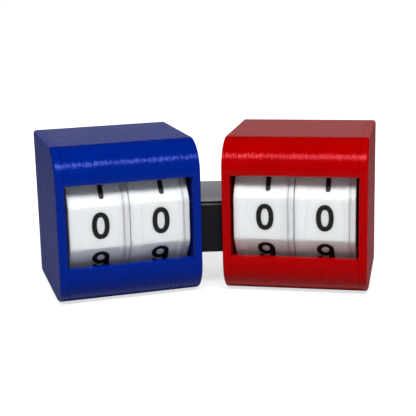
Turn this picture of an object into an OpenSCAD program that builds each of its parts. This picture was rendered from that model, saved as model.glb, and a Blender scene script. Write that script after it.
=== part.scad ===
// Tabletop flip scoreboard: two boxes on one link, each with a tens and a units wheel.
// Every wheel is a ten-sided drum that turns on a fixed axle and clicks into ten places.
// Millimetres. X runs along the set, Y to the back, Z up; the origin is under its middle.

/* [Set] */
// Turn of each box towards the reader
toe_angle = 14; // [6:0.5:20]
// Gap between the two inner front corners
corner_gap = 7; // [5:0.5:14]

/* [Box] */
// Width of a box with its end cap
box_w = 50.6; // [50:0.1:60]
// Depth of a box from front to back
box_d = 51; // [50.5:0.5:60]
// Height of a box
box_h = 55; // [52:0.5:64]
// Rounding of the two long front edges
front_r = 11; // [6:0.5:12]
// Rounding of the two long back edges
back_r = 1.2; // [0.6:0.1:2]
// Thickness of the end cap, which is the outer post of the window
cap_t = 3.1; // [2.6:0.1:4]
// Thickness of the inner side wall, which is the inner post of the window
inner_wall = 2.9; // [2.7:0.1:3.6]
// Thickness of the front wall above and below the window
front_wall = 3; // [2.4:0.1:3.6]
// Thickness of the top, the bottom and the back
shell_t = 2.4; // [1.8:0.1:2.6]

/* [Window] */
// Height of the window's sill above the table
sill_z = 13.7; // [13:0.1:14.5]
// Height of the front wall above the window
lintel_h = 12.45; // [11.5:0.05:14]
// Chamfer on the sill and the lintel
window_chamfer = 0.5; // [0.3:0.1:0.8]

/* [Axle] */
// Radius of the axle
axle_r = 3; // [2.5:0.1:3.5]
// Distance of the axle's flat from its centre
axle_flat = 2.3; // [2:0.1:2.4]
// Wall left behind each blind axle socket
socket_skin = 1; // [0.8:0.1:1.4]
// Radius of the thrust faces on the walls, the hubs and the washer
thrust_r = 6; // [5:0.1:7]

/* [Wheels] */
// Distance of the rims behind the front face
wheel_set_back = 0.3; // [0.2:0.05:0.6]
// Gap between the rims and the back wall
back_gap = 0.5; // [0.4:0.05:0.8]
// Gap between the rims and the top and the bottom wall
top_gap = 1.2; // [1:0.05:1.6]
// Height of the turned corners of the rim above its flats
rim_crown = 0.95; // [0.7:0.05:1.1]
// Width of the two rim bands beside the numbered panels
band_w = 3.9; // [3.4:0.1:4.4]
// Depth of the numbered panels below the rim's flats
panel_recess = 0.25; // [0.25:0.05:0.5]
// Thickness of the closed side of the drum
web_t = 2; // [1.6:0.1:2.4]
// Thickness of the cover on the other side
cover_t = 2; // [1.6:0.1:2.4]
// Thickness of the drum behind the numbered panels
drum_wall = 2.75; // [2.4:0.05:3.4]
// Length of the cover's spigot inside the drum
spigot_l = 2; // [1.4:0.1:2.6]
// Thickness of the spigot's wall
spigot_t = 1.6; // [1.2:0.1:2]
// Depth of the recess round the bore on both sides of a wheel
hub_recess = 0.4; // [0.2:0.1:0.6]
// Gap between the two wheels of a box
wheel_gap = 0.3; // [0.2:0.05:0.4]
// Gap between the inner wheel and the inner wall
inner_gap = 1.1; // [0.8:0.1:1.3]
// Gap between the outer wheel and the end cap
outer_gap = 1.2; // [0.9:0.1:1.6]

/* [Click spring] */
// Number of places that a wheel clicks into
places = 10;
// Radius of each notch in the drum
notch_r = 1.7; // [1.5:0.05:1.8]
// Distance of a notch's centre inside the drum's wall
notch_inset = 0.2; // [0.1:0.05:0.4]
// Radius of the nose at the end of each arm
nose_r = 1.55; // [1.3:0.05:1.6]
// Width of the spring along the axle
spring_w = 8; // [6:0.1:9]
// Radius of the spring's hub
spring_hub_r = 6; // [5:0.1:6.5]
// Thickness of each arm
arm_t = 1.5; // [1.1:0.1:1.7]
// Room between an arm and the drum, which an arm needs to bend
arm_room = 0.5; // [0.3:0.1:1]
// Turn that each arm makes on its way out
sweep_angle = 160; // [130:5:170]

/* [Link] */
// Height of the underside of the link above the table
link_z = 13.7; // [12:0.1:18]
// Height of the link
link_h = 18.5; // [14:0.1:20]
// Distance of the link behind the inner front corners
link_front = 6; // [4:0.5:8]
// Depth of the link
link_d = 38; // [34:0.5:42]
// Rounding of the link's upper edges
link_top_r = 2; // [1:0.1:3]
// Rounding of the link's lower edges
link_low_r = 0.6; // [0.3:0.1:1]

/* [Link screws] */
// Radius of a screw's shank
screw_r = 1.5; // [1.2:0.1:1.7]
// Radius of a countersunk head
screw_head_r = 2.9; // [2.5:0.1:3.2]
// Height of a countersunk head
screw_head_h = 1.7; // [1.4:0.1:1.8]
// Length of a screw with its head
screw_l = 8; // [7:0.5:8.5]
// Distance of the two screws from the middle of the link, along the wall
screw_reach = 12; // [10:0.5:14]
// Distance across the flats of the socket in the head
screw_key = 2; // [1.5:0.1:2.5]
// Depth of the socket in the head
screw_key_h = 1; // [0.8:0.1:1.1]

/* [Cap tongues] */
// Length of each tongue that centres the end cap
tongue_l = 12; // [8:0.5:14]
// Thickness of each tongue
tongue_t = 1.6; // [1.2:0.1:2]
// Reach of the upper and the lower tongue into the housing
tongue_reach = 3; // [2:0.1:3]
// Place of those two tongues as a share of the depth, behind the top of the wheels
tongue_place = 0.8; // [0.77:0.01:0.82]

/* [Clearances] */
// Radial clearance of a wheel's bore on the axle
run_clear = 0.08; // [0.03:0.01:0.1]
// Clearance of a keyed or seated piece
seat_clear = 0.05; // [0.03:0.01:0.1]
// Clearance on each thrust face
thrust_clear = 0.1; // [0.05:0.05:0.15]
// Clearance of the tongues and of the cover's spigot
fit_clear = 0.1; // [0.05:0.05:0.15]

/* [Hidden] */
$fn = 48;

BLUE = -1;
RED = 1;
step_angle = 360 / places;
half_step = step_angle / 2;

// The set's middle, and the front centre of each box
mid_y = (box_d * cos(toe_angle) - box_w * sin(toe_angle)) / 2;
box_x = corner_gap / 2 + box_w / 2 * cos(toe_angle);
box_y = -box_w / 2 * sin(toe_angle) - mid_y;

// Faces inside a box, whose inner side lies at plus X before a red box is mirrored
cap_face = -box_w / 2 + cap_t;
wall_face = box_w / 2 - inner_wall;
cavity_w = wall_face - cap_face;
cavity_r = front_r - shell_t;

// The wheels fill the depth and the height of the box up to their gaps
room_deep = box_d - shell_t - back_gap - wheel_set_back;
room_high = box_h - 2 * (shell_t + top_gap);
rim_corner_r = min(room_deep, room_high) / 2;
rim_flat = rim_corner_r - rim_crown;
drum_bore_r = rim_flat - panel_recess - drum_wall;
notch_pitch_r = drum_bore_r - notch_inset;
axle_y = wheel_set_back + rim_corner_r;
axle_z = box_h / 2;

// The row of two wheels fills the width between the end cap and the inner wall
wheel_w = (cavity_w - outer_gap - wheel_gap - inner_gap) / 2;
panel_w = wheel_w - 2 * band_w;
inner_wheel_x = wall_face - inner_gap - wheel_w / 2;
outer_wheel_x = inner_wheel_x - wheel_w - wheel_gap;
washer_x = (inner_wheel_x + outer_wheel_x) / 2;
inner_boss = inner_gap + hub_recess - thrust_clear;
outer_boss = outer_gap + hub_recess - thrust_clear;
washer_t = wheel_gap + 2 * (hub_recess - thrust_clear);

// Inside a wheel
drum_inside = wheel_w - web_t - cover_t;
hub_l = (drum_inside - spring_w) / 2 - thrust_clear;
arm_end_r = drum_bore_r - arm_room - arm_t / 2;
arm_start_r = spring_hub_r - arm_t;
arm_steps = 20;

// Where the link meets the walls, and the middle of it along a wall
link_back = link_front + link_d;
link_mid = (link_front + link_d / 2) / cos(toe_angle);
eps = 0.01;
big = 200;

function gap_half(y) = corner_gap / 2 + y * tan(toe_angle);

// Puts a shape that is drawn at a box's front centre where that box stands
module in_box(side) {
    translate([side * box_x, box_y, 0]) rotate([0, 0, -side * toe_angle]) children();
}

// The same for a shape with an inner and an outer side, drawn for the blue box
module in_box_sided(side) {
    in_box(side) mirror([side == RED ? 1 : 0, 0, 0]) children();
}

// Extrudes an outline, drawn with Y to the back and Z up, along X from x0
module along_x(x0, length) {
    translate([x0, 0, 0]) rotate([90, 0, 90]) linear_extrude(length) children();
}

module rod(r, x0, length) {
    translate([x0, 0, 0]) rotate([0, 90, 0]) cylinder(r = r, h = length);
}

module at_axle() {
    translate([0, axle_y, axle_z]) children();
}

// What a rounded corner takes off, for a corner at the origin of the first quadrant
module corner_cut(r) {
    difference() {
        translate([-1, -1]) square(r + 1);
        translate([r, r]) circle(r);
    }
}

// A rectangle with one rounding on its front corners and another on its back ones
module rounded_outline(d, h, r_front, r_back) {
    difference() {
        square([d, h]);
        corner_cut(r_front);
        translate([0, h]) mirror([0, 1]) corner_cut(r_front);
        translate([d, 0]) mirror([1, 0]) corner_cut(r_back);
        translate([d, h]) rotate(180) corner_cut(r_back);
    }
}

module box_outline() {
    rounded_outline(box_d, box_h, front_r, back_r);
}

// A rod with one flat on top, for the axle and everything keyed to it
module d_rod(r, flat, x0, length) {
    difference() {
        rod(r, x0, length);
        translate([x0 - 1, -r - 1, flat]) cube([length + 2, 2 * r + 2, r]);
    }
}

module d_hole(x0, length) {
    d_rod(axle_r + seat_clear, axle_flat + seat_clear, x0, length);
}

// A screw along X whose head is flush with x = 0 and which drives towards plus X
module screw_shape(clear) {
    rotate([0, 90, 0]) {
        cylinder(r1 = screw_head_r + clear, r2 = screw_r + clear, h = screw_head_h);
        cylinder(r = screw_r + clear, h = screw_l + clear);
    }
}

module at_screws() {
    for (side = [-1, 1])
        translate([wall_face, link_mid + side * screw_reach, link_z + link_h / 2]) children();
}

module housing() {
    difference() {
        union() {
            difference() {
                along_x(cap_face, box_w - cap_t) box_outline();
                along_x(cap_face - 1, cavity_w + 1)
                    translate([front_wall, shell_t])
                        rounded_outline(box_d - front_wall - shell_t, box_h - 2 * shell_t,
                            cavity_r, back_r);
                along_x(cap_face - 1, cavity_w + 1) window_outline();
            }
            at_axle() rod(thrust_r, wall_face - inner_boss, inner_boss + eps);
        }
        at_axle() d_hole(wall_face - inner_boss - 1, inner_boss + inner_wall - socket_skin + 1);
        at_screws() screw_shape(seat_clear);
    }
}

// The window from the side, flared where it breaks through the front face
module window_outline() {
    flare = window_chamfer + 1;
    lintel_z = box_h - lintel_h;
    polygon([
        [-1, sill_z - flare], [window_chamfer, sill_z], [2 * front_wall, sill_z],
        [2 * front_wall, lintel_z], [window_chamfer, lintel_z], [-1, lintel_z + flare]
    ]);
}

module end_cap() {
    mid_z = box_h / 2;
    difference() {
        union() {
            along_x(-box_w / 2, cap_t) box_outline();
            at_axle() rod(thrust_r, cap_face - eps, outer_boss + eps);
            for (side = [-1, 1])
                translate([cap_face - eps, box_d * tongue_place - tongue_l / 2,
                           mid_z + side * (mid_z - shell_t - fit_clear - tongue_t / 2)])
                    translate([0, 0, -tongue_t / 2])
                        cube([tongue_reach + eps, tongue_l, tongue_t]);
            translate([cap_face - eps, box_d - shell_t - fit_clear - tongue_t,
                       mid_z - tongue_l / 2])
                cube([outer_gap - wheel_gap, tongue_t, tongue_l]);
        }
        at_axle() d_hole(-box_w / 2 + socket_skin, box_w);
    }
}

module axle() {
    x0 = -box_w / 2 + socket_skin + thrust_clear;
    x1 = box_w / 2 - socket_skin - thrust_clear;
    at_axle() d_rod(axle_r, axle_flat, x0, x1 - x0);
}

module washer() {
    at_axle() difference() {
        rod(thrust_r, washer_x - washer_t / 2, washer_t);
        d_hole(washer_x - washer_t, 2 * washer_t);
    }
}

// A ten-sided prism with a flat to the front and the back
module ten_sided(flat, x0, length) {
    translate([x0, 0, 0]) rotate([0, 90, 0])
        cylinder(r = flat / cos(half_step), h = length, $fn = 10);
}

module rim(x0, length) {
    intersection() {
        ten_sided(rim_flat, x0, length);
        rod(rim_corner_r, x0 - 1, length + 2);
    }
}

// The drum and its cover are drawn round the axle, with the wheel's left side at x = 0
module drum() {
    drum_w = wheel_w - cover_t;
    difference() {
        union() {
            rim(0, band_w);
            ten_sided(rim_flat - panel_recess, band_w - eps, panel_w + 2 * eps);
            rim(band_w + panel_w, drum_w - band_w - panel_w);
        }
        difference() {
            union() {
                rod(drum_bore_r, web_t, wheel_w);
                for (k = [0 : places - 1])
                    rotate([k * step_angle, 0, 0]) translate([0, 0, notch_pitch_r])
                        rod(notch_r, web_t, wheel_w);
            }
            rod(thrust_r, web_t - 1, hub_l + 1);
        }
        rod(thrust_r + fit_clear, -1, hub_recess + 1);
        rod(axle_r + run_clear, -1, wheel_w);
    }
}

module cover() {
    face = wheel_w - cover_t;
    difference() {
        union() {
            rim(face, cover_t);
            rod(thrust_r, face - hub_l, hub_l + eps);
            difference() {
                rod(drum_bore_r - fit_clear, face - spigot_l, spigot_l + eps);
                rod(drum_bore_r - fit_clear - spigot_t, face - spigot_l - 1, spigot_l + 1);
            }
        }
        rod(thrust_r + fit_clear, wheel_w - hub_recess, hub_recess + 1);
        rod(axle_r + run_clear, face - hub_l - 1, wheel_w);
    }
}

// A point on an arm's middle line, t from 0 at the hub to 1 at the nose, off to one side
function arm_r(t) = arm_start_r + (arm_end_r - arm_start_r) * (1 - cos(180 * t)) / 2;
function arm_angle(t) = -sweep_angle * (1 - t);
function arm_point(t, off) =
    let (r = arm_r(t) + off, a = arm_angle(t)) [r * cos(a), r * sin(a)];

// One springy arm: out of the hub, round, and up behind its nose
module spring_arm() {
    outside = [for (k = [0 : arm_steps]) arm_point(k / arm_steps, arm_t / 2)];
    inside = [for (k = [arm_steps : -1 : 0]) arm_point(k / arm_steps, -arm_t / 2)];
    linear_extrude(spring_w) polygon(concat(outside, inside));
    translate([notch_pitch_r, 0, 0]) cylinder(r = nose_r, h = spring_w);
}

// The click spring sits still on the axle's flat, and its two noses rest in two notches
module click_spring() {
    x0 = (wheel_w - cover_t + web_t - spring_w) / 2;
    difference() {
        translate([x0, 0, 0]) rotate([0, 90, 0]) {
            cylinder(r = spring_hub_r, h = spring_w);
            for (turn = [0, 180]) rotate([0, 0, turn]) spring_arm();
        }
        d_hole(x0 - 1, spring_w + 2);
    }
}

// A red box has its tens wheel on the inner side, a blue one its units wheel
module at_wheel(side, is_tens) {
    on_inner = (side == RED) == is_tens;
    x = -side * (on_inner ? inner_wheel_x : outer_wheel_x);
    in_box(side) at_axle() translate([x - wheel_w / 2, 0, 0]) children();
}

// The link fills the wedge between the two inner walls and lies face to face with both
module link_block() {
    color("#1b1b22") difference() {
        intersection() {
            translate([-big / 2, link_front - mid_y, link_z]) rotate([90, 0, 90])
                linear_extrude(big) link_outline();
            translate([0, -mid_y, 0]) linear_extrude(box_h) polygon([
                [-gap_half(link_front), link_front], [gap_half(link_front), link_front],
                [gap_half(link_back), link_back], [-gap_half(link_back), link_back]]);
        }
        for (side = [BLUE, RED])
            in_box_sided(side) at_screws() screw_shape(seat_clear);
    }
}

module link_outline() {
    difference() {
        square([link_d, link_h]);
        corner_cut(link_low_r);
        translate([link_d, 0]) mirror([1, 0]) corner_cut(link_low_r);
        translate([0, link_h]) mirror([0, 1]) corner_cut(link_top_r);
        translate([link_d, link_h]) rotate(180) corner_cut(link_top_r);
    }
}

module link_screws() {
    color("#8a8a90")
    for (side = [BLUE, RED])
        in_box_sided(side) at_screws() difference() {
            screw_shape(0);
            rotate([0, 90, 0]) translate([0, 0, -1])
                cylinder(r = screw_key / 2 / cos(30), h = screw_key_h + 1, $fn = 6);
        }
}

module blue_housing() { color("#0b2580") in_box_sided(BLUE) housing(); }
module blue_end_cap() { color("#303666") in_box_sided(BLUE) end_cap(); }
module blue_axle() { color("#9a9aa0") in_box_sided(BLUE) axle(); }
module blue_washer() { color("#2c2c30") in_box_sided(BLUE) washer(); }
module blue_tens_wheel() { color("#e4eefd") at_wheel(BLUE, true) drum(); }
module blue_tens_cover() { color("#e4eefd") at_wheel(BLUE, true) cover(); }
module blue_tens_click_spring() { color("#2c2c30") at_wheel(BLUE, true) click_spring(); }
module blue_units_wheel() { color("#e4eefd") at_wheel(BLUE, false) drum(); }
module blue_units_cover() { color("#e4eefd") at_wheel(BLUE, false) cover(); }
module blue_units_click_spring() { color("#2c2c30") at_wheel(BLUE, false) click_spring(); }

module red_housing() { color("#a50100") in_box_sided(RED) housing(); }
module red_end_cap() { color("#7d4e53") in_box_sided(RED) end_cap(); }
module red_axle() { color("#9a9aa0") in_box_sided(RED) axle(); }
module red_washer() { color("#2c2c30") in_box_sided(RED) washer(); }
module red_tens_wheel() { color("#e4eefd") at_wheel(RED, true) drum(); }
module red_tens_cover() { color("#e4eefd") at_wheel(RED, true) cover(); }
module red_tens_click_spring() { color("#2c2c30") at_wheel(RED, true) click_spring(); }
module red_units_wheel() { color("#e4eefd") at_wheel(RED, false) drum(); }
module red_units_cover() { color("#e4eefd") at_wheel(RED, false) cover(); }
module red_units_click_spring() { color("#2c2c30") at_wheel(RED, false) click_spring(); }

blue_housing();
blue_end_cap();
blue_axle();
blue_washer();
blue_tens_wheel();
blue_tens_cover();
blue_tens_click_spring();
blue_units_wheel();
blue_units_cover();
blue_units_click_spring();
red_housing();
red_end_cap();
red_axle();
red_washer();
red_tens_wheel();
red_tens_cover();
red_tens_click_spring();
red_units_wheel();
red_units_cover();
red_units_click_spring();
link_block();
link_screws();
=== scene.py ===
# %% [markdown]
# # A tabletop flip scoreboard
#
# Two printed boxes, one blue and one red, stand side by side and are joined by a black link. In
# the window of each box two white ten-sided wheels show a score, and a fingertip rolls them on.
# The CAD model already fixes every size. This script loads it, softens the edges, lays the
# digits into the wheels and gives each piece the finish of the real one.

# %% Load the CAD model
import math

import bmesh
import bpy
from mathutils import Matrix, Vector


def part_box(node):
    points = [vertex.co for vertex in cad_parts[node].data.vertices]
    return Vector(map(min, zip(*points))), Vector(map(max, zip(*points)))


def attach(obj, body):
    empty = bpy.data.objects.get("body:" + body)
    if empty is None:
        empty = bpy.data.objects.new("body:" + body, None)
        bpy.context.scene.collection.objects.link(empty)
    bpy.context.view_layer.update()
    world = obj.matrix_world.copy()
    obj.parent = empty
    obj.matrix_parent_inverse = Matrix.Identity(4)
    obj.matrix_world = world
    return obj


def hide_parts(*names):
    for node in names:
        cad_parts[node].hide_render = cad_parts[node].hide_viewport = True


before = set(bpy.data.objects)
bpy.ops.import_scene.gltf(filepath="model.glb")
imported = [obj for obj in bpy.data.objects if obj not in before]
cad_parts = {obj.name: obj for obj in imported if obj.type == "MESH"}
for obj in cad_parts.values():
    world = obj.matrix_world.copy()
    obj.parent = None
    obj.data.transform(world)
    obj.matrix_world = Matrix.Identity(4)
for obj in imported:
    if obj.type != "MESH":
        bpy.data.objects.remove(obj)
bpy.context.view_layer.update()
print("CAD nodes:", len(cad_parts))

# %% [markdown]
# ## The camera
#
# The photograph was taken from a little above and from just left of the middle. Fitting a camera
# to the straight edges of both boxes gave its place, a 90 mm lens and a small roll. The roll is
# why the front edges of the two boxes don't lean by the same amount.
# The camera could be aimed with a Track To constraint, but its own three directions, written as
# a matrix, keep the roll exact.

# %% Place the camera
MM = 0.001
CAMERA_AT = (-14.64, -370.98, 114.4)


def make_camera(place_mm, heading, pitch, roll, lens):
    """A camera at a place, turned towards +X by heading, down by pitch, and rolled."""
    h, p = math.radians(heading), math.radians(pitch)
    ahead = Vector((math.sin(h) * math.cos(p), math.cos(h) * math.cos(p), -math.sin(p)))
    right = Vector((math.cos(h), -math.sin(h), 0))
    turn = Matrix((right, right.cross(ahead), -ahead)).transposed().to_4x4()
    camera = bpy.data.objects.new("photo_camera", bpy.data.cameras.new("photo_camera"))
    camera.data.lens = lens
    camera.data.clip_start = 0.01
    camera.matrix_world = (Matrix.Translation(Vector(place_mm) * MM) @ turn
                           @ Matrix.Rotation(math.radians(roll), 4, "Z"))
    bpy.context.scene.collection.objects.link(camera)
    return camera


scene = bpy.context.scene
scene.camera = make_camera(CAMERA_AT, heading=2.18, pitch=13.25, roll=-1.38, lens=89.97)
print("camera at mm:", [round(c / MM, 1) for c in scene.camera.location])

# %% [markdown]
# ## Where things are in a box
#
# Each box is turned 14 degrees towards the reader, and the red one mirrors the blue one.
# It is easier to work in a box's own directions: `x` to the right, `y` to the back from its front
# face, and `z` up. `box_place` is the matrix that puts such a shape where the box stands.
# The sizes are those of the CAD model, in mm. The last lines measure the CAD pieces to prove it.

# %% Directions and sizes of a box
BOX_W, BOX_D, BOX_H = 50.6, 51.0, 55.0
FRONT_R, BACK_R = 11.0, 1.2
CAP_T, INNER_WALL = 3.1, 2.9
TOE_ANGLE, CORNER_GAP = 14.0, 7.0
SIDES = {"blue": -1, "red": 1}


def box_place(colour):
    """The matrix from a box's own millimetres to metres in the scene."""
    side, toe = SIDES[colour], math.radians(TOE_ANGLE)
    middle_y = (BOX_D * math.cos(toe) - BOX_W * math.sin(toe)) / 2
    x = side * (CORNER_GAP / 2 + BOX_W / 2 * math.cos(toe))
    y = -BOX_W / 2 * math.sin(toe) - middle_y
    return (Matrix.Diagonal((MM, MM, MM, 1)) @ Matrix.Translation((x, y, 0))
            @ Matrix.Rotation(-side * toe, 4, "Z"))


for colour in SIDES:
    to_own = box_place(colour).inverted()
    points = [to_own @ vert.co for part in ("_housing", "_end_cap")
              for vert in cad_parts[colour + part].data.vertices]
    reach = [max(p[axis] for p in points) - min(p[axis] for p in points) for axis in range(3)]
    print(colour, "box measures in mm:", [round(size, 2) for size in reach])

# %% [markdown]
# ## Softened edges
#
# No printed edge is a perfect corner. A rounding of a few tenths of a millimetre catches a thin
# line of light, and that line tells the eye how big the object is.
# A bevel on the CAD mesh needs clean faces first: the copy's doubles are merged and its flat
# triangles dissolved into whole faces. Then only the sharp edges that a test picks are bevelled.
# Building the shells again by hand would give the same shape with more risk to its sizes.

# %% A helper that copies a CAD piece and rounds its edges
SHARP, FLAT = math.radians(30), math.radians(0.6)
SAME_POINT = 0.0005


def along(*tests, fold=SHARP):
    """A test for edges that fold more than an angle and whose both ends pass every test."""
    return lambda edge: (edge.calc_face_angle(0) > fold
                         and all(test(vert.co) for vert in edge.verts for test in tests))


def softened(node, body, place, rules):
    """A copy of a CAD node with rounded edges. rules are pairs of a width in mm and a test."""
    mesh = bpy.data.meshes.new(node + "_soft")
    bm = bmesh.new()
    bm.from_mesh(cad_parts[node].data)
    bm.transform(place.inverted())
    bmesh.ops.remove_doubles(bm, verts=bm.verts, dist=SAME_POINT)
    bmesh.ops.dissolve_limit(bm, angle_limit=FLAT, verts=bm.verts, edges=bm.edges)
    for width, wanted in rules:
        edges = [edge for edge in bm.edges if wanted(edge)]
        bmesh.ops.bevel(bm, geom=edges, offset=width, segments=3, profile=0.5, affect="EDGES",
                        clamp_overlap=True, material=-1)
        print(node, "rounded", len(edges), "edges by", width, "mm")
    for face in bm.faces:
        face.smooth = True
    for edge in bm.edges:
        edge.smooth = edge.calc_face_angle(0) < SHARP
    bm.transform(place)
    bm.to_mesh(mesh)
    bm.free()
    piece = bpy.data.objects.new(node + "_soft", mesh)
    scene.collection.objects.link(piece)
    normals = piece.modifiers.new("even shading", "WEIGHTED_NORMAL")
    normals.keep_sharp = True
    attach(piece, body)
    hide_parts(node)
    return piece


# %% [markdown]
# ## Housings and end caps
#
# A housing is open on its outer side, and an end cap closes it. Between the two runs a hairline
# seam, made by a small rounding on both rims. The front edges of the window and the rim of the
# inner side are rounded a little more. The cap's outer edges are the roundest, because they
# were printed on the bed and are what a hand holds.
# The tests below find these edges by where their ends lie, so no list of edges is needed.

# %% Tests that find the edges of a shell
ON_PLANE, SLACK = 0.02, 0.1
CHAMFER = 0.5
UNDER_SILL, OVER_LINTEL = FRONT_R + 1, BOX_H - FRONT_R


def flat_at(axis, value):
    """A test for points that lie on one plane of a box."""
    return lambda p: abs(p[axis] - value) < ON_PLANE


def on_outline(p):
    """True on the outside of a box's rounded outline, seen from its side."""
    if p.y > FRONT_R:
        return p.y > BOX_D - BACK_R - SLACK or p.z < ON_PLANE or p.z > BOX_H - ON_PLANE
    if FRONT_R < p.z < BOX_H - FRONT_R:
        return p.y < ON_PLANE
    centre_z = FRONT_R if p.z <= FRONT_R else BOX_H - FRONT_R
    return math.hypot(p.y - FRONT_R, p.z - centre_z) > FRONT_R - SLACK


def near_window(p):
    """True on the front round the window, as deep as its chamfer."""
    return p.y < CHAMFER + SLACK and UNDER_SILL < p.z < OVER_LINTEL


# %% Round the shells
SEAM_SOFT, WINDOW_SOFT, INNER_SOFT, CAP_SOFT = 0.16, 0.3, 0.4, 1.1


def window_front(seam_side):
    """A test for the window's front edges, without the end that the cap covers."""
    return lambda edge: along(near_window)(edge) and not along(seam_side)(edge)


boxes = {}
for colour, side in SIDES.items():
    inner_side, outer_side = flat_at(0, -side * BOX_W / 2), flat_at(0, side * BOX_W / 2)
    seam_side = flat_at(0, side * (BOX_W / 2 - CAP_T))
    seam_rule = (SEAM_SOFT, along(seam_side, on_outline))
    boxes[colour + "_housing"] = softened(
        colour + "_housing", "set", box_place(colour),
        [(INNER_SOFT, along(inner_side, on_outline)), seam_rule,
         (WINDOW_SOFT, window_front(seam_side))])
    boxes[colour + "_end_cap"] = softened(
        colour + "_end_cap", "set", box_place(colour),
        [(CAP_SOFT, along(outer_side)), seam_rule])

# %% [markdown]
# ## Wheels
#
# A wheel is a ten-sided drum with a thin cover on its right side. Narrow rim bands run beside a
# recessed panel for each digit. The edges of the bands are soft from printing, so the bands and
# the panels each catch the light on their own. The joint between drum and cover is so tight that
# its rounding is a third of the others, or it would read as a groove.

# %% Sizes and places of the wheels
AXLE_Y, AXLE_Z = 24.2, BOX_H / 2
WHEEL_W, COVER_T, BAND_W = 21.0, 2.0, 3.9
WHEEL_GAP, INNER_GAP = 0.3, 1.1
INNER_X = BOX_W / 2 - INNER_WALL - INNER_GAP - WHEEL_W / 2
OUTER_X = INNER_X - WHEEL_W - WHEEL_GAP
WHEELS = {("blue", "tens"): OUTER_X, ("blue", "units"): INNER_X,
          ("red", "tens"): -INNER_X, ("red", "units"): -OUTER_X}
for (colour, digit_place), x in WHEELS.items():
    print(colour, digit_place, "wheel is", round(x, 2), "mm from the box's middle")

# %% Round the wheels
DRUM_OUTSIDE_R = 22.0
PANEL_FOLD = math.radians(8)
PANEL_SOFT, JOINT_SOFT, RIM_SOFT = 0.25, 0.05, 0.16


def on_rim(p):
    """True on the outside of a wheel, well away from its bore."""
    return math.hypot(p.y - AXLE_Y, p.z - AXLE_Z) > DRUM_OUTSIDE_R


def across_panel(x):
    """A test for the edges between two panels, which run along the axle."""
    def wanted(edge):
        a, b = (vert.co for vert in edge.verts)
        return (math.hypot(a.y - b.y, a.z - b.z) < ON_PLANE
                and along(on_rim, fold=PANEL_FOLD)(edge)
                and all(abs(end.x - x) < WHEEL_W / 2 - BAND_W + SLACK for end in (a, b)))
    return wanted


wheels = {}
for (colour, digit_place), x in WHEELS.items():
    body = colour + "_" + digit_place
    at_joint = along(on_rim, flat_at(0, x + WHEEL_W / 2 - COVER_T))
    rules = [(PANEL_SOFT, across_panel(x)), (JOINT_SOFT, at_joint), (RIM_SOFT, along(on_rim))]
    for part in ("wheel", "cover"):
        wheels[body + "_" + part] = softened(
            body + "_" + part, body, box_place(colour), rules)

# %% [markdown]
# ## Digits
#
# The digits are printed into the panels in black, in one even stroke with round ends.
# A font would give flat ends, so each digit is a curve: the path of a pen whose tip is 1.7 mm
# wide. The curve's round bevel is the pen, and a radius that shrinks along a quarter circle
# rounds its ends. Then the tube is pressed flat, so it lies in the panel like an inlay.
# The coordinates are millimetres from the digit's middle. The 6 is the 9 turned upside down, and
# the foot of the 1 reaches lower than the 0 does.

# %% The path of the pen for each digit
STROKE = 1.7
HALF_W, HALF_H = 2.2, 3.83
NINE_MIDDLE = 0.3


def arc(cx, cz, rx, rz, start, end, steps=28):
    """Points of an ellipse's arc from one angle to another, in degrees from +x."""
    turns = [math.radians(start + (end - start) * k / steps) for k in range(steps + 1)]
    return [(cx + rx * math.cos(t), cz + rz * math.sin(t)) for t in turns]


def oval(rx, rz, fullness=2.3, steps=44):
    """Points of a closed oval whose sides are straighter than an ellipse's."""
    def pull(v):
        return math.copysign(abs(v) ** (2 / fullness), v)
    turns = [math.tau * k / steps for k in range(steps + 1)]
    return [(rx * pull(math.cos(t)), rz * pull(math.sin(t))) for t in turns]


def line(*points):
    """Straight strokes from point to point, each with its own round ends."""
    return [list(pair) for pair in zip(points, points[1:])]


nine = [arc(0, 1.8, HALF_W, 2.4, 0, 360), [(HALF_W, 1.8)] + arc(0, -1.45, HALF_W, 2.1, 0, -150)]
DIGITS = {
    0: [oval(HALF_W, HALF_H)],
    1: line((-1.3, 1.8), (0.94, 3.3), (0.94, -4.5)),
    2: [arc(0, 1.6, HALF_W, HALF_W, 160, -38)] + line((1.73, 0.25), (-2.1, -3.8), (2.3, -3.8)),
    3: [arc(-0.1, 1.95, 1.95, 1.85, 150, -90), arc(-0.1, -1.75, 2.25, 1.9, 90, -150)],
    4: line((0.7, 3.8), (-2.4, -1.5), (2.5, -1.5)) + line((1.1, 0.9), (1.1, -3.8)),
    5: line((1.9, 3.8), (-1.6, 3.8), (-1.75, 0.35)) + [arc(-0.1, -1.35, 2.3, 2.45, 136, -145)],
    6: [[(-x, 2 * NINE_MIDDLE - z) for x, z in stroke] for stroke in nine],
    7: line((-2.2, 3.8), (2.2, 3.8), (-0.5, -3.8)),
    8: [arc(0, 2.0, 1.8, 1.8, 0, 360), arc(0, -1.8, 2.2, 2.0, 0, 360)],
    9: nine,
}
print("strokes:", sum(len(strokes) for strokes in DIGITS.values()))

# %% [markdown]
# A loop comes back to its first point and stays closed. Any other stroke gets a few more points
# at each end, where the pen's radius falls to nothing along a quarter circle.
# Strokes that cross would share one flat top, which renders with specks, so each stroke of a
# digit lies a hair above the one before.

# %% A helper that turns strokes into a flat inlay
INLAY_PROUD, INLAY_STEP, INLAY_DEPTH = 0.03, 0.004, 0.25
PEN = STROKE / 2
END_STEPS = (0.35, 0.6, 0.8, 0.92, 0.98, 1.0)
CLOSED_GAP, MIDDLE_LINE = 0.01, -0.001


def with_round_ends(path):
    """The path as points with a pen radius, which falls from 1 to 0 past both ends."""
    points = [(Vector(p), 1.0) for p in path]
    for _ in range(2):
        points.reverse()
        end = points[-1][0]
        ahead = (end - points[-2][0]).normalized()
        points += [(end + ahead * PEN * t, math.sqrt(1 - t * t)) for t in END_STEPS]
    return points


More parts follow.
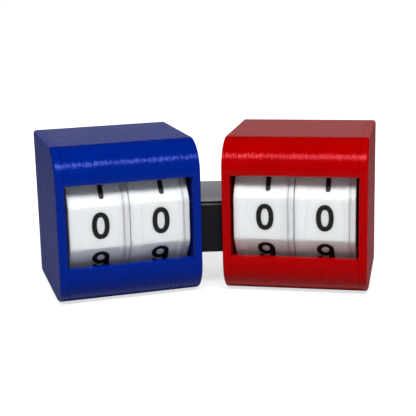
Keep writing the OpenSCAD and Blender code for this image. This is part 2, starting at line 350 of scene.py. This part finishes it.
def pen_tube(path):
    """A round tube along one stroke, as a mesh."""
    closed = math.dist(path[0], path[-1]) < CLOSED_GAP
    points = [(Vector(p), 1.0) for p in path[:-1]] if closed else with_round_ends(path)
    curve = bpy.data.curves.new("pen", "CURVE")
    curve.dimensions = "3D"
    curve.bevel_depth = PEN
    curve.bevel_resolution = 4
    spline = curve.splines.new("POLY")
    spline.use_cyclic_u = closed
    spline.points.add(len(points) - 1)
    for point, (at, radius) in zip(spline.points, points):
        point.co = (at.x, at.y, 0, 1)
        point.radius = radius
    tube = bpy.data.objects.new("pen", curve)
    mesh = bpy.data.meshes.new_from_object(tube)
    bpy.data.objects.remove(tube)
    return mesh


def inlay(bm, digit, place):
    """Presses a digit's strokes flat and adds them to a bmesh, moved by a matrix."""
    for level, path in enumerate(DIGITS[digit]):
        mesh = pen_tube(path)
        top = INLAY_PROUD + level * INLAY_STEP
        for vert in mesh.vertices:
            vert.co.z = top if vert.co.z > MIDDLE_LINE else -INLAY_DEPTH
        mesh.transform(place)
        bm.from_mesh(mesh)
        bpy.data.meshes.remove(mesh)


# %% [markdown]
# Each inlay is drawn lying flat. It stands up to face the reader, moves out to the panel's
# distance from the axle, and turns about the axle to its own place: digit 1 is the next one up.
# On the real wheels the digits sit a little above the panel's middle, and up to half a
# millimetre to the right of it, so both offsets are kept.

# %% Lay ten digits into each wheel
PANEL_R, DIGIT_RISE = 22.7, 0.55
CLICK_ANGLE = 36
WELD = 1e-6
OFF_MIDDLE = {("blue", "tens"): 0.38, ("blue", "units"): 0.26,
              ("red", "tens"): 0.45, ("red", "units"): 0.0}


def digit_at(colour, x, digit):
    """The matrix from a flat digit's millimetres to its panel in the scene."""
    return (box_place(colour) @ Matrix.Translation((x, AXLE_Y, AXLE_Z))
            @ Matrix.Rotation(math.radians(-CLICK_ANGLE * digit), 4, "X")
            @ Matrix.Translation((0, -PANEL_R, DIGIT_RISE))
            @ Matrix.Rotation(math.radians(90), 4, "X"))


digits = {}
for (colour, digit_place), x in WHEELS.items():
    body = colour + "_" + digit_place
    bm = bmesh.new()
    for digit in DIGITS:
        inlay(bm, digit, digit_at(colour, x + OFF_MIDDLE[colour, digit_place], digit))
    bmesh.ops.remove_doubles(bm, verts=bm.verts, dist=WELD)
    bmesh.ops.recalc_face_normals(bm, faces=bm.faces)
    mesh = bpy.data.meshes.new(body + "_digits")
    bm.to_mesh(mesh)
    bm.free()
    digits[body] = bpy.data.objects.new(body + "_digits", mesh)
    scene.collection.objects.link(digits[body])
    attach(digits[body], body)
    print(body, "digits:", len(mesh.polygons), "faces")

# %% [markdown]
# ## The link
#
# One black wedge fills the gap between the boxes. Its long edges were printed with a rounding
# that the CAD model has; the rest of its edges get a small one here.

# %% Round the link
LINK_SOFT = 0.25
link = softened("link_block", "set", Matrix.Diagonal((MM, MM, MM, 1)),
                [(LINK_SOFT, along())])

# %% [markdown]
# ## Finishes
#
# Every piece but the screws is printed in plastic, so the finishes differ in how each face met
# the printer. One helper adds a node with its settings and its inputs. Colours are written as
# sRGB hex values, as a paint program shows them, and made linear by one function.

# %% Helpers for materials
def linear(hex_colour):
    """A hex colour as Blender's linear RGBA."""
    values = [int(hex_colour[i:i + 2], 16) / 255 for i in (1, 3, 5)]
    return [v / 12.92 if v <= 0.04045 else ((v + 0.055) / 1.055) ** 2.4 for v in values] + [1]


def add(material, kind, inputs=None, **settings):
    """A node with its settings. Each input is a value, or a socket that feeds it."""
    node = material.node_tree.nodes.new("ShaderNode" + kind)
    for name, value in settings.items():
        setattr(node, name, value)
    for name, value in (inputs or {}).items():
        if isinstance(value, bpy.types.NodeSocket):
            material.node_tree.links.new(value, node.inputs[name])
        else:
            node.inputs[name].default_value = value
    return node


def blank(name):
    """A material without nodes."""
    material = bpy.data.materials.new(name)
    material.use_nodes = True
    material.node_tree.nodes.clear()
    return material


def finish_with(piece, material):
    """Gives a new piece its one material."""
    piece.data.materials.clear()
    piece.data.materials.append(material)
    print(piece.name, "is", material.name)


# %% [markdown]
# ### Printed shells
#
# The boxes are PLA, printed lying on their outer sides, so the layers stack along the row and
# every layer line runs round the box. The lines are 0.2 mm apart, too fine for the picture, so
# they are drawn about 0.7 mm apart. They break the highlight on the rounded front edge
# into small teeth. Noise that is stretched along the lines makes each layer a little different.
# A wave texture would repeat too evenly for lines that a nozzle laid down.
# The inner side was the last layer, laid flat by the nozzle, so the lines fade out there.
# Satin PLA of a strong colour tints its own highlights, so the gloss gets a paler shade of the
# same hue.

# %% Helpers for a printed box
GRID = (1 / MM,) * 3
LAYER, LAYER_RUN = 0.7, 8.0


def own_mm(material, colour):
    """Object coordinates in a box's own millimetres, from the foot of its front face's middle."""
    back = box_place(colour).inverted()
    where = add(material, "TexCoord")
    return add(material, "Mapping",
               {"Vector": where.outputs["Object"], "Location": back.to_translation(),
                "Rotation": (0, 0, SIDES[colour] * math.radians(TOE_ANGLE)),
                "Scale": GRID}).outputs[0]


def layer_height(material, own, layer=LAYER, length=LAYER_RUN):
    """Uneven layer lines across a box's x, each layer wide and length long, in mm."""
    stretched = add(material, "Mapping",
                    {"Vector": own, "Scale": (1 / layer, 1 / length, 1 / length)})
    return add(material, "TexNoise", {"Vector": stretched.outputs[0], "Scale": 1.0, "Detail": 3.0,
                                      "Roughness": 0.55}).outputs["Fac"]


def clouded(material, own, low, high, size=12.0):
    """Two near colours in soft clouds of a size in mm, as filament and handling leave them."""
    cloud = add(material, "TexNoise", {"Vector": own, "Scale": 1 / size, "Detail": 3.0})
    return add(material, "Mix", {0: cloud.outputs["Fac"], 6: linear(low), 7: linear(high)},
               data_type="RGBA").outputs[2]


def at_side(material, own, side, start, full, inside=0.0, at_face=1.0):
    """A value that changes over the last start to full mm before a box's left or right face."""
    x = add(material, "SeparateXYZ", {"Vector": own}).outputs[0]
    sideways = add(material, "Math", {0: x, 1: side}, operation="MULTIPLY").outputs[0]
    return add(material, "MapRange",
               {"Value": sideways, "From Min": BOX_W / 2 - start, "From Max": BOX_W / 2 - full,
                "To Min": inside, "To Max": at_face}).outputs[0]


# %% The material of a printed shell
SHELL_LOOK = {"blue": {"low": "#001F7E", "high": "#00238B", "sheen": "#7484F2", "level": 0.32},
              "red": {"low": "#A30000", "high": "#AE0001", "sheen": "#F2606C", "level": 0.4}}


def printed_shell(colour, low, high, sheen, level):
    """Satin PLA with layer lines round the box. sheen and level tint and weigh its gloss."""
    material = blank("satin_printed_pla_" + colour)
    own = own_mm(material, colour)
    layers = layer_height(material, own)
    rough = add(material, "MapRange", {"Value": layers, "To Min": 0.08, "To Max": 0.16})
    ridged = at_side(material, own, -SIDES[colour], 0.3, 0.1, inside=1.0, at_face=0.06)
    bump = add(material, "Bump", {"Height": layers, "Strength": ridged, "Distance": 0.4 * MM})
    shader = add(material, "BsdfPrincipled",
                 {"Base Color": clouded(material, own, low, high), "Roughness": rough.outputs[0],
                  "Normal": bump.outputs[0], "Specular IOR Level": level,
                  "Specular Tint": linear(sheen)})
    add(material, "OutputMaterial", {"Surface": shader.outputs[0]})
    return material


for colour, look in SHELL_LOOK.items():
    finish_with(boxes[colour + "_housing"], printed_shell(colour, **look))

# %% [markdown]
# ### End caps
#
# The outer face of each cap was the first layer, pressed onto a powder-coated print bed, and it
# kept the bed's grain: low bumps about 1 mm across that scatter the light. Pale specks on the
# grain's peaks are painted glints for that scattered light, and they make the side look paler.
# The cap's rim has layer lines like the shell. One material holds both, and
# a position along the box's x decides where the grain ends.

# %% The material of the end caps
GRAIN = 1.1


def grained_cap(colour, low, high, sheen, level, painted_glint):
    """PLA with bed grain and painted glints on its outer face, and layer lines on its rim."""
    material = blank("bed_grained_pla_" + colour)
    own = own_mm(material, colour)
    on_bed = at_side(material, own, SIDES[colour], 0.3, 0.05)
    grain = add(material, "TexNoise", {"Vector": own, "Scale": 1 / GRAIN, "Detail": 4.0,
                                       "Roughness": 0.75}).outputs["Fac"]
    layers = layer_height(material, own)
    fine = add(material, "Bump", {"Height": layers, "Strength": 1.0, "Distance": 0.12 * MM})
    coarse = add(material, "Bump", {"Height": grain, "Strength": on_bed, "Distance": 0.5 * MM,
                                    "Normal": fine.outputs[0]})
    # Painted glints: the grain's peaks are mixed towards a pale colour for the light they scatter.
    glint_specks = add(material, "MapRange", {"Value": grain, "From Min": 0.5, "From Max": 0.65,
                                       "To Max": 0.42}).outputs[0]
    paler = add(material, "Math", {0: glint_specks, 1: on_bed}, operation="MULTIPLY").outputs[0]
    mixed = add(material, "Mix", {0: paler, 6: clouded(material, own, low, high),
                                  7: linear(painted_glint)}, data_type="RGBA")
    rough = add(material, "MapRange", {"Value": on_bed, "To Min": 0.2, "To Max": 0.5})
    shader = add(material, "BsdfPrincipled",
                 {"Base Color": mixed.outputs[2], "Roughness": rough.outputs[0],
                  "Normal": coarse.outputs[0], "Specular IOR Level": level,
                  "Specular Tint": linear(sheen)})
    add(material, "OutputMaterial", {"Surface": shader.outputs[0]})
    return material


# These pale colours are painted glints, standing in for light that the bed grain scatters.
for colour, painted_glint in (("blue", "#6C78C4"), ("red", "#C08C96")):
    finish_with(boxes[colour + "_end_cap"], grained_cap(colour, painted_glint=painted_glint, **SHELL_LOOK[colour]))

# %% [markdown]
# ### White wheels and black digits
#
# The wheels are white PLA, printed lying on a side, so their layers also stack along x.
# The nozzle leaves them smoother than the shells. The digits are the same plastic in black, laid
# in layer by layer with the white, so the lines run on through them.
# White PLA lets light in, and some of it comes out again a few millimetres away. Subsurface
# scattering does that here, and it keeps the wheels from looking like plaster.

# %% The materials of the wheels and the digits
FINE_LAYER = 0.05 * MM
LIGHT_SPREAD = 3.5 * MM


def wheel_plastic(name, colour, low, high, rough_min, translucent=0.0):
    """PLA with fine layer lines across the axle. Light spreads inside if it is translucent."""
    material = blank(name + "_" + colour)
    own = own_mm(material, colour)
    layers = layer_height(material, own, layer=0.6, length=9.0)
    rough = add(material, "MapRange", {"Value": layers, "To Min": rough_min,
                                       "To Max": rough_min + 0.12})
    bump = add(material, "Bump", {"Height": layers, "Strength": 1.0, "Distance": FINE_LAYER})
    shader = add(material, "BsdfPrincipled",
                 {"Base Color": clouded(material, own, low, high), "Roughness": rough.outputs[0],
                  "Normal": bump.outputs[0], "Specular IOR Level": 0.25,
                  "Subsurface Weight": translucent, "Subsurface Radius": (1.0, 1.0, 1.0),
                  "Subsurface Scale": LIGHT_SPREAD})
    add(material, "OutputMaterial", {"Surface": shader.outputs[0]})
    return material


for colour in SIDES:
    white = wheel_plastic("white_printed_pla", colour, "#ECF4FF", "#F5FAFF", 0.3, translucent=0.9)
    black = wheel_plastic("black_inlay_pla", colour, "#101113", "#1A1B1D", 0.4)
    for digit_place in ("tens", "units"):
        body = colour + "_" + digit_place
        finish_with(wheels[body + "_wheel"], white)
        finish_with(wheels[body + "_cover"], white)
        finish_with(digits[body], black)

# %% [markdown]
# ### The link and the inner pieces
#
# The link is black PLA, printed upright, so its layers stack upwards. Its top is painted much
# paler than its front, as a painted reflection of the bright room on that level face: the
# height decides the colour.
# The inner pieces are dark PLA. They don't show, but they get their own finish.

# %% The material of the link and the inner pieces
LINK_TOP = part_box("link_block")[1][2] / MM


def stacked_pla(name, low, high, rough, painted_reflection_top=None):
    """PLA with its layers stacked upwards, and a top lightened by a painted reflection if asked.
    """
    material = blank(name)
    where = add(material, "TexCoord")
    mm = add(material, "Mapping", {"Vector": where.outputs["Object"], "Scale": GRID}).outputs[0]
    lines = add(material, "Mapping", {"Vector": mm, "Scale": (0.15, 0.15, 1.6)})
    layers = add(material, "TexNoise", {"Vector": lines.outputs[0], "Scale": 1.0, "Detail": 2.0})
    bump = add(material, "Bump", {"Height": layers.outputs["Fac"], "Strength": 1.0,
                                  "Distance": FINE_LAYER})
    blotch = add(material, "TexNoise", {"Vector": mm, "Scale": 0.25, "Detail": 4.0})
    roughness = add(material, "MapRange", {"Value": blotch.outputs["Fac"], "To Min": rough - 0.08,
                                           "To Max": rough + 0.08})
    colour = clouded(material, mm, low, high)
    # A painted reflection: the level top is mixed towards pale grey for the room it mirrors.
    if painted_reflection_top:
        height = add(material, "SeparateXYZ", {"Vector": mm}).outputs[2]
        reflection_on_top = add(material, "MapRange", {"Value": height, "From Min": LINK_TOP - 0.15,
                                            "From Max": LINK_TOP - 0.05}).outputs[0]
        colour = add(material, "Mix", {0: reflection_on_top, 6: colour, 7: linear(painted_reflection_top)},
                     data_type="RGBA").outputs[2]
    shader = add(material, "BsdfPrincipled",
                 {"Base Color": colour, "Roughness": roughness.outputs[0],
                  "Normal": bump.outputs[0], "IOR": 1.32})
    add(material, "OutputMaterial", {"Surface": shader.outputs[0]})
    return material


finish_with(link, stacked_pla("black_printed_pla", "#06070E", "#0C0D16", 0.36, painted_reflection_top="#A0A0A4"))
inner_pla = stacked_pla("dark_inner_pla", "#1C1C20", "#28282C", 0.45)

# %% [markdown]
# ### The screws
#
# The screws are zinc-plated steel: a metal, so its colour is that of its reflections. Turning
# left fine marks on it, which noise in the roughness stands for.
# The CAD pieces that aren't replaced keep their own objects, so each one's material slots are
# filled here instead.

# %% The material of the screws, and the CAD pieces that stay
def zinc_steel():
    """Zinc-plated steel with faint turning marks."""
    material = blank("zinc_plated_steel")
    where = add(material, "TexCoord")
    marks = add(material, "TexNoise", {"Vector": where.outputs["Object"], "Scale": 2500.0,
                                       "Detail": 2.0}).outputs["Fac"]
    rough = add(material, "MapRange", {"Value": marks, "To Min": 0.22, "To Max": 0.4})
    shader = add(material, "BsdfPrincipled", {"Base Color": linear("#B9BCC2"), "Metallic": 1.0,
                                              "Roughness": rough.outputs[0]})
    add(material, "OutputMaterial", {"Surface": shader.outputs[0]})
    return material


steel = zinc_steel()
for name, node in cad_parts.items():
    if name.endswith(("axle", "washer", "click_spring", "screws")):
        for slot in node.material_slots:
            slot.material = steel if name == "link_screws" else inner_pla
        print(name, "is", node.material_slots[0].material.name)

# %% [markdown]
# ## The studio
#
# The object stands on a plain white sheet. The camera sees the sheet and the backdrop as
# white, while other rays see less light from them, so the white doesn't wash out the object.
# Close to the object the sheet is a little darker, and its shade falls there.

# %% The white sheet
def level_sheet(name, width, front, back, height, material):
    """A level sheet of the studio, in metres, which isn't part of the object."""
    bm = bmesh.new()
    bmesh.ops.create_grid(bm, x_segments=1, y_segments=1, size=0.5)
    bmesh.ops.scale(bm, vec=(width, back - front, 1), verts=bm.verts)
    bmesh.ops.translate(bm, vec=(0, (front + back) / 2, height), verts=bm.verts)
    mesh = bpy.data.meshes.new(name)
    bm.to_mesh(mesh)
    bm.free()
    sheet = bpy.data.objects.new(name, mesh)
    scene.collection.objects.link(sheet)
    finish_with(sheet, material)
    return sheet


def white_paper(near=0.06, far=0.16, near_glow=0.7):
    """Paper that the camera sees white, but for some shade close to the object."""
    material = blank("white_paper")
    seen = add(material, "LightPath").outputs["Is Camera Ray"]
    where = add(material, "TexCoord").outputs["Object"]
    away = add(material, "VectorMath", {0: where}, operation="LENGTH").outputs["Value"]
    light = add(material, "MapRange", {"Value": away, "From Min": near, "From Max": far,
                                       "To Min": near_glow, "To Max": 1.0}).outputs[0]
    glow = add(material, "Math", {0: seen, 1: light}, operation="MULTIPLY").outputs[0]
    shader = add(material, "BsdfPrincipled",
                 {"Base Color": (0.5, 0.5, 0.5, 1), "Roughness": 1.0, "Specular IOR Level": 0.0,
                  "Emission Color": (1, 1, 1, 1), "Emission Strength": glow})
    add(material, "OutputMaterial", {"Surface": shader.outputs[0]})
    return material


level_sheet("white_sheet", 12, -6, 6, 0, white_paper())

# %% [markdown]
# ### The backdrop
#
# The gloss would mirror a white room as a pale haze over every rounded edge, and the photograph
# has none. So the gloss sees little of the backdrop, and a dark sheet hangs overhead that nothing
# but the gloss sees. The Light Path node tells the two kinds of ray apart.

# %% The backdrop and the dark sheet overhead
def backdrop(fill=0.06, in_gloss=0.15):
    """A world that the camera sees white and that lights the object a little from all sides."""
    world = bpy.data.worlds.new("white_room")
    world.use_nodes = True
    world.node_tree.nodes.clear()
    path = add(world, "LightPath").outputs
    gloss = add(world, "Math", {0: path["Is Glossy Ray"], 1: in_gloss}, operation="MULTIPLY")
    seen = add(world, "Math", {0: path["Is Camera Ray"], 1: path["Is Transmission Ray"]},
               operation="MAXIMUM")
    white = add(world, "Math", {0: seen.outputs[0], 1: gloss.outputs[0]}, operation="MAXIMUM")
    strength = add(world, "MapRange", {"Value": white.outputs[0], "To Min": fill, "To Max": 1.0})
    light = add(world, "Background", {"Color": (1, 1, 1, 1), "Strength": strength.outputs[0]})
    add(world, "OutputWorld", {"Surface": light.outputs[0]})
    return world


def black_felt():
    """Felt that gives no light back."""
    material = blank("black_felt")
    shader = add(material, "BsdfPrincipled", {"Base Color": (0, 0, 0, 1), "Roughness": 1.0,
                                              "Specular IOR Level": 0.0})
    add(material, "OutputMaterial", {"Surface": shader.outputs[0]})
    return material


scene.world = backdrop()
ceiling = level_sheet("dark_ceiling", 3, -0.3, 1.5, 0.6, black_felt())
ceiling.visible_camera = ceiling.visible_diffuse = ceiling.visible_shadow = False
ceiling.visible_transmission = False
print("backdrop:", scene.world.name)

# %% [markdown]
# ### The lamps
#
# One wide soft lamp hangs in front and above. It draws the bright line along the rounded front
# edges, and its light comes under the lintel of each window as it does in the photograph.
# A dim one stands behind for the tops and the back. Its mirror image would whiten the tops, so
# the gloss doesn't see it.

# %% The lamps
AIM = Vector((0, 0, 0.03))


def soft_lamp(name, elevation, azimuth, distance, size, watts, in_gloss=True):
    """A rectangular lamp that faces the object. Azimuth 0 is in front, and 90 to the right."""
    e, a = math.radians(elevation), math.radians(azimuth)
    away = Vector((math.sin(a) * math.cos(e), -math.cos(a) * math.cos(e), math.sin(e)))
    lamp = bpy.data.objects.new(name, bpy.data.lights.new(name, "AREA"))
    lamp.data.shape = "RECTANGLE"
    lamp.data.size, lamp.data.size_y = size
    lamp.data.energy = watts
    lamp.location = away * distance + AIM
    lamp.rotation_euler = away.to_track_quat("Z", "Y").to_euler()
    lamp.visible_camera = False
    lamp.visible_glossy = in_gloss
    scene.collection.objects.link(lamp)
    print(name, "at m:", [round(c, 2) for c in lamp.location])


soft_lamp("front_softbox", elevation=50, azimuth=0, distance=0.75, size=(0.7, 0.17), watts=6.9)
soft_lamp("rear_softbox", elevation=45, azimuth=180, distance=0.75, size=(0.7, 0.4), watts=1.4,
          in_gloss=False)
scene.view_settings.view_transform = "Standard"
